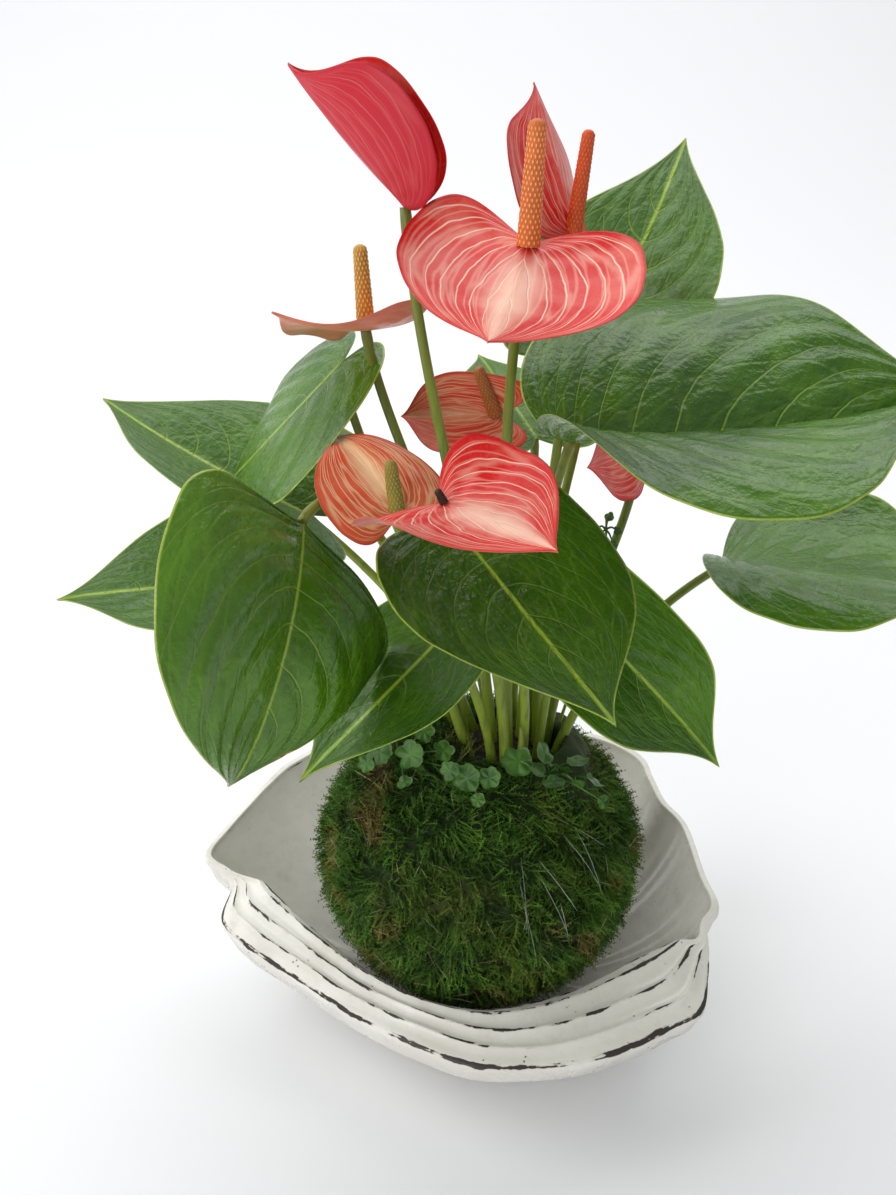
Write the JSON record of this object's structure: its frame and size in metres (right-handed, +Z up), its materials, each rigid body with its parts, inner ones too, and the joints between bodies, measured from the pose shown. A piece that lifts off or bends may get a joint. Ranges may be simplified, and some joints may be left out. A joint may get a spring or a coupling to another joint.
{
  "type": "anthurium kokedama",
  "caption": "Flowering anthurium with heart-shaped glossy leaves and red spathes, rooted in a round moss ball that stands in a white folded-rim ceramic bowl.",
  "frame": {"origin": "centre of the bowl's foot, on the surface it stands on", "axes": "+Z up, -Y the front of the bowl (its low folded lip), +X the viewer's right"},
  "size_m": [0.3374, 0.2413, 0.3654],
  "materials": {
    "leaf": "gloss",
    "stem": "satin",
    "spathe_red": "gloss",
    "spathe_pale": "satin",
    "spadix": "matte",
    "bract": "matte",
    "weed": "satin",
    "moss": "matte",
    "soil": "matte",
    "bowl_glaze": "satin"
  },
  "bodies": {
    "root": {"leaf_right_large_blade": "leaf", "leaf_right_large_petiole": "stem", "leaf_back_right_blade": "leaf", "leaf_back_right_petiole": "stem", "leaf_far_right_blade": "leaf", "leaf_far_right_petiole": "stem", "leaf_front_centre_blade": "leaf", "leaf_front_centre_petiole": "stem", "leaf_low_right_blade": "leaf", "leaf_low_right_petiole": "stem", "leaf_front_left_blade": "leaf", "leaf_front_left_petiole": "stem", "leaf_low_centre_blade": "leaf", "leaf_low_centre_petiole": "stem", "leaf_folded_left_blade": "leaf", "leaf_folded_left_petiole": "stem", "leaf_back_left_blade": "leaf", "leaf_back_left_petiole": "stem", "leaf_low_left_blade": "leaf", "leaf_low_left_petiole": "stem", "leaf_back_pale_blade": "leaf", "leaf_back_pale_petiole": "stem", "flower_bud_top_spathe": "spathe_red", "flower_bud_top_stalk": "stem", "flower_bud_top_spadix": "spadix", "flower_main_spathe": "spathe_red", "flower_main_stalk": "stem", "flower_main_spadix": "spadix", "flower_upright_back_spathe": "spathe_red", "flower_upright_back_stalk": "stem", "flower_upright_back_spadix": "spadix", "flower_edge_left_spathe": "spathe_pale", "flower_edge_left_stalk": "stem", "flower_edge_left_spadix": "spadix", "flower_middle_back_spathe": "spathe_pale", "flower_middle_back_stalk": "stem", "flower_middle_back_spadix": "spadix", "flower_orange_left_spathe": "spathe_pale", "flower_orange_left_stalk": "stem", "flower_orange_left_spadix": "spadix", "flower_front_red_spathe": "spathe_red", "flower_front_red_stalk": "stem", "flower_front_red_spadix": "spadix", "flower_hidden_right_spathe": "spathe_red", "flower_hidden_right_stalk": "stem", "flower_hidden_right_spadix": "spadix", "new_shoot": "stem", "weed_frond": "weed", "bract_left": "bract", "bract_right": "bract", "weed_sprig_left": "weed", "weed_leaf_front": "weed", "weed_creeper_right": "weed", "moss_shell": "moss", "soil_ball": "soil", "bowl": "bowl_glaze"}
  },
  "joints": []
}
